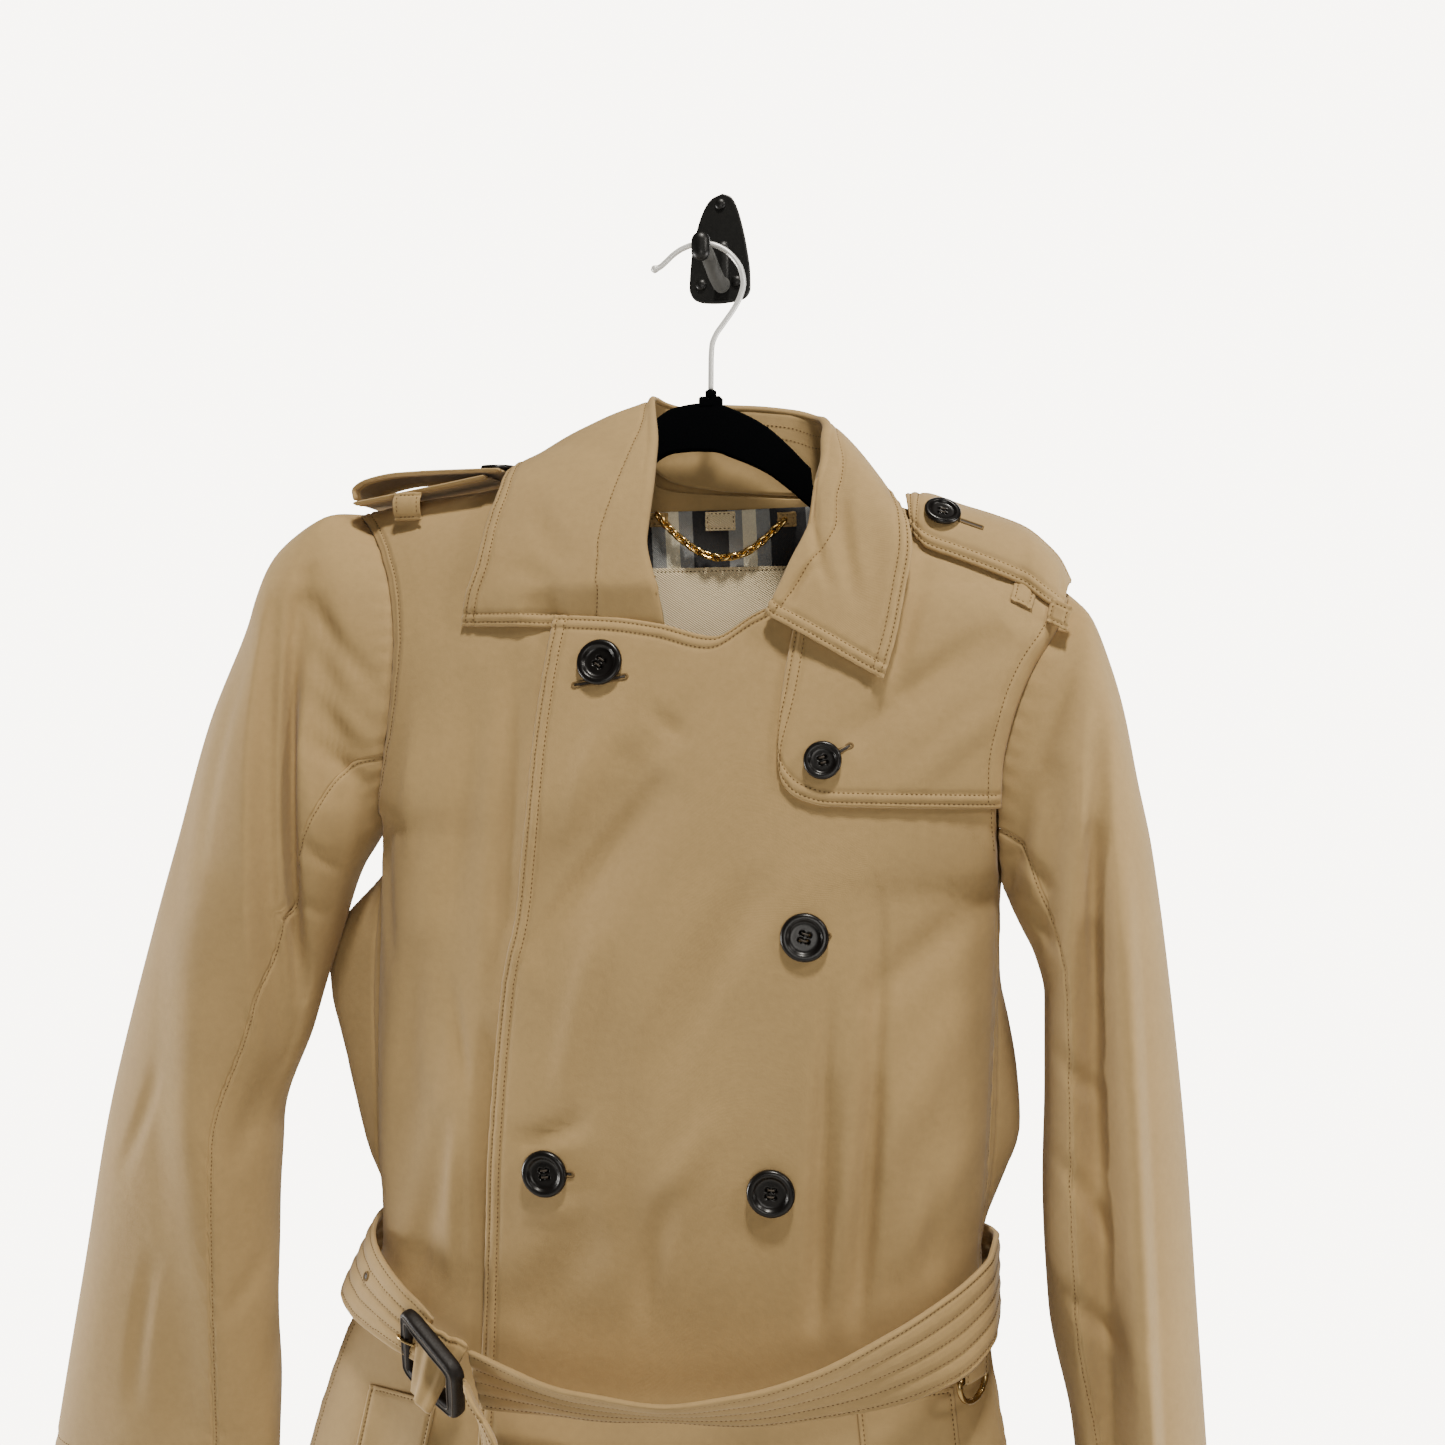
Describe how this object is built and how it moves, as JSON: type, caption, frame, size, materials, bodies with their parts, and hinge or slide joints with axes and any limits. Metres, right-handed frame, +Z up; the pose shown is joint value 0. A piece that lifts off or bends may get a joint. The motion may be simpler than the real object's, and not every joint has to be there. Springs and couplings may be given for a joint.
{
  "type": "trench coat on wall hook",
  "caption": "A tan gabardine double-breasted trench coat with belt and shoulder straps, on a black flocked hanger that hangs from a cast wall hook.",
  "frame": {"origin": "middle of the wall plate's back face, on the wall", "axes": "+Z up; +X to the viewer's right; +Y out of the plate's back, into the wall. The whole coat lies at y <= 0 and the viewer stands at -Y"},
  "size_m": [0.689, 0.1566, 1.0923],
  "materials": {
    "gabardine": "tight diagonal twill with a faint sheen",
    "striped_lining": "woven in plain upright stripes of charcoal, grey and cream",
    "cream_twill": "bare twill",
    "horn": "black, polished",
    "dark_leather": "near black, edges painted",
    "aged_brass": "darkened",
    "gold_chain": "bright",
    "hanger_chrome": "polished wire",
    "hanger_flock": "black flock",
    "hook_enamel": "black enamel on cast iron"
  },
  "bodies": {
    "coat": {"back": "gabardine", "belt": "gabardine", "belt_fold": "gabardine", "belt_loop_left": "gabardine", "belt_loop_right": "gabardine", "belt_tail": "gabardine", "buckle": "dark_leather", "buckle_prong": "aged_brass", "button_chest": "horn", "button_flap": "horn", "button_hip": "horn", "button_strap_left": "horn", "button_strap_right": "horn", "button_top": "horn", "button_waist": "horn", "chain_tab_left": "gabardine", "chain_tab_right": "gabardine", "collar_leaf": "gabardine", "collar_stand": "gabardine", "d_ring_tab": "gabardine", "epaulette_left": "gabardine", "epaulette_left_under": "gabardine", "epaulette_right": "gabardine", "front_over": "gabardine", "front_under": "gabardine", "hang_chain": "gold_chain", "hanger_body": "hanger_flock", "hanger_wire": "hanger_chrome", "left_sleeve_under": "gabardine", "left_sleeve_upper": "gabardine", "neck_label": "cream_twill", "neck_lining": "striped_lining", "pocket_welt_left": "gabardine", "pocket_welt_right": "gabardine", "right_sleeve_under": "gabardine", "right_sleeve_upper": "gabardine", "screw_left": "hook_enamel", "screw_right": "hook_enamel", "screw_top": "hook_enamel", "size_label": "cream_twill", "storm_flap": "gabardine", "strap_keeper_left": "gabardine", "strap_keeper_right_inner": "gabardine", "strap_keeper_right_outer": "gabardine", "wall_hook": "hook_enamel"},
    "ring": {"d_ring": "aged_brass"}
  },
  "joints": [
    {"name": "d_ring_swing", "type": "hinge", "parent": "coat", "child": "ring", "pos_m": [0.1517, -0.08863, -0.6182], "axis": [-0.5132, -0.8583, 0], "range_deg": [-15, 90]}
  ]
}
